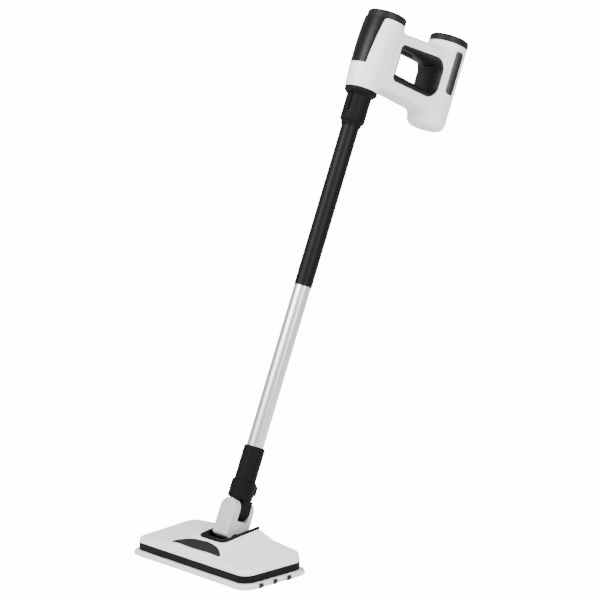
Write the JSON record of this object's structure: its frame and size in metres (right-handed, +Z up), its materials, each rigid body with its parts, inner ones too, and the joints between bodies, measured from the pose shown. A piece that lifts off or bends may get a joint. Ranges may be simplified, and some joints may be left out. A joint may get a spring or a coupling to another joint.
{
  "type": "steam mop",
  "caption": "Steam mop with a flat swivelling floor head, a telescopic wand and a top steam unit with a through hand opening.",
  "frame": {"origin": "on the floor under the middle of the floor head, on the cleaning pad's lower face", "axes": "+Z up, the head's front faces -Y and the wand leans towards +Y in the plane X = 0, +X to the right seen from the front"},
  "size_m": [0.348, 0.7741, 1.0688],
  "materials": {
    "white_shell": "satin white moulded plastic",
    "black_plastic": "fine matt black moulded plastic",
    "gloss_black": "glossy black plastic with a fine pattern",
    "grey_inlay": "dark grey matt plastic",
    "silver_tube": "anodised aluminium tube",
    "black_tube": "satin black coated tube",
    "microfibre": "white microfibre cloth",
    "hook_tape": "black hook tape",
    "steel": "plated steel",
    "brass_fitting": "machined brass",
    "pipe": "heat proof pipe",
    "seal_rubber": "silicone rubber",
    "grey_plastic": "grey moulded plastic",
    "smoked_window": "smoked clear plastic",
    "clear_tank": "translucent plastic",
    "boiler_metal": "cast aluminium",
    "board": "green circuit board"
  },
  "bodies": {
    "head": {"cleaning_pad": "microfibre", "hook_strips": "hook_tape", "head_base": "black_plastic", "steam_manifold": "grey_plastic", "steam_nozzles": "brass_fitting", "head_cover": "white_shell", "cover_inlay": "grey_inlay", "slot_trim": "black_plastic", "pitch_pins": "steel", "pitch_bushes": "grey_plastic", "head_steam_pipe": "pipe", "cover_screws": "steel"},
    "yoke": {"yoke": "white_shell", "roll_pin": "steel", "roll_washers": "grey_plastic"},
    "neck": {"neck_body": "black_plastic", "neck_steam_pipe": "pipe", "neck_seal": "seal_rubber"},
    "neck_latch": {"neck_latch_button": "black_plastic"},
    "lower_wand": {"lower_tube": "silver_tube", "lower_steam_pipe": "pipe", "wand_end_plug": "black_plastic", "wand_pipe_guide": "grey_plastic"},
    "upper_wand": {"upper_tube": "black_tube", "upper_steam_pipe": "pipe", "wand_top_plug": "black_plastic"},
    "telescope_lock": {"telescope_button": "black_plastic"},
    "steam_unit": {"wand_socket": "black_plastic", "socket_seal": "seal_rubber", "unit_shell_right": "white_shell", "unit_shell_left": "white_shell", "grip_liner": "black_plastic", "front_panel": "gloss_black", "front_cap": "gloss_black", "level_windows": "smoked_window", "water_tank": "clear_tank", "boiler": "boiler_metal", "heating_element": "steel", "thermostat": "steel", "thermal_fuse": "steel", "pump": "grey_plastic", "control_board": "board", "trigger_switch": "black_plastic", "water_hose": "seal_rubber", "boiler_feed_hose": "seal_rubber", "steam_outlet_pipe": "pipe", "cord_gland": "seal_rubber", "shell_screws": "steel"},
    "unit_latch": {"unit_latch_button": "black_plastic"},
    "trigger": {"steam_trigger": "black_plastic"},
    "power_switch": {"power_button": "gloss_black"},
    "filler": {"filler_plug": "grey_plastic", "filler_seal": "seal_rubber"},
    "filler_cap": {"rear_cap": "gloss_black"}
  },
  "joints": [
    {"name": "head_pitch", "type": "hinge", "parent": "head", "child": "yoke", "pos_m": [0, 0.02473, 0.04711], "axis": [-1, 0, 0], "range_deg": [-23, 47]},
    {"name": "neck_roll", "type": "hinge", "parent": "yoke", "child": "neck", "pos_m": [0, 0.04778, 0.10142], "axis": [0, 0.9205, -0.3907], "range_deg": [-40, 40]},
    {"name": "wand_pull_out", "type": "slide", "parent": "neck", "child": "lower_wand", "axis": [0, 0.3907, 0.9205], "range_m": [0, 0.07]},
    {"name": "telescope", "type": "slide", "parent": "lower_wand", "child": "upper_wand", "axis": [0, 0.3907, 0.9205], "range_m": [-0.26, 0]},
    {"name": "unit_lift_off", "type": "slide", "parent": "upper_wand", "child": "steam_unit", "axis": [0, 0.3907, 0.9205], "range_m": [0, 0.05]},
    {"name": "neck_latch_press", "type": "slide", "parent": "neck", "child": "neck_latch", "axis": [0, -0.9205, 0.3907], "range_m": [0, 0.003], "stiffness_N_per_m": 600, "springref_m": -0.0009},
    {"name": "telescope_press", "type": "slide", "parent": "upper_wand", "child": "telescope_lock", "axis": [0.7071, -0.6509, 0.2763], "range_m": [0, 0.0015], "stiffness_N_per_m": 600, "springref_m": -0.00045},
    {"name": "unit_latch_press", "type": "slide", "parent": "steam_unit", "child": "unit_latch", "axis": [0, 0.9205, -0.3907], "range_m": [0, 0.002], "stiffness_N_per_m": 600, "springref_m": -0.0006},
    {"name": "trigger_press", "type": "slide", "parent": "steam_unit", "child": "trigger", "axis": [0, 0.3907, 0.9205], "range_m": [0, 0.003], "stiffness_N_per_m": 500, "springref_m": -0.0009},
    {"name": "power_press", "type": "slide", "parent": "steam_unit", "child": "power_switch", "axis": [0, -0.3907, -0.9205], "range_m": [0, 0.0015], "stiffness_N_per_m": 500, "springref_m": -0.00045},
    {"name": "filler_lift", "type": "slide", "parent": "steam_unit", "child": "filler", "axis": [0, 0.3907, 0.9205], "range_m": [0, 0.04]},
    {"name": "cap_twist", "type": "hinge", "parent": "filler", "child": "filler_cap", "pos_m": [0, 0.64797, 0.99277], "axis": [0, 0.3907, 0.9205], "range_deg": [0, 90]}
  ]
}
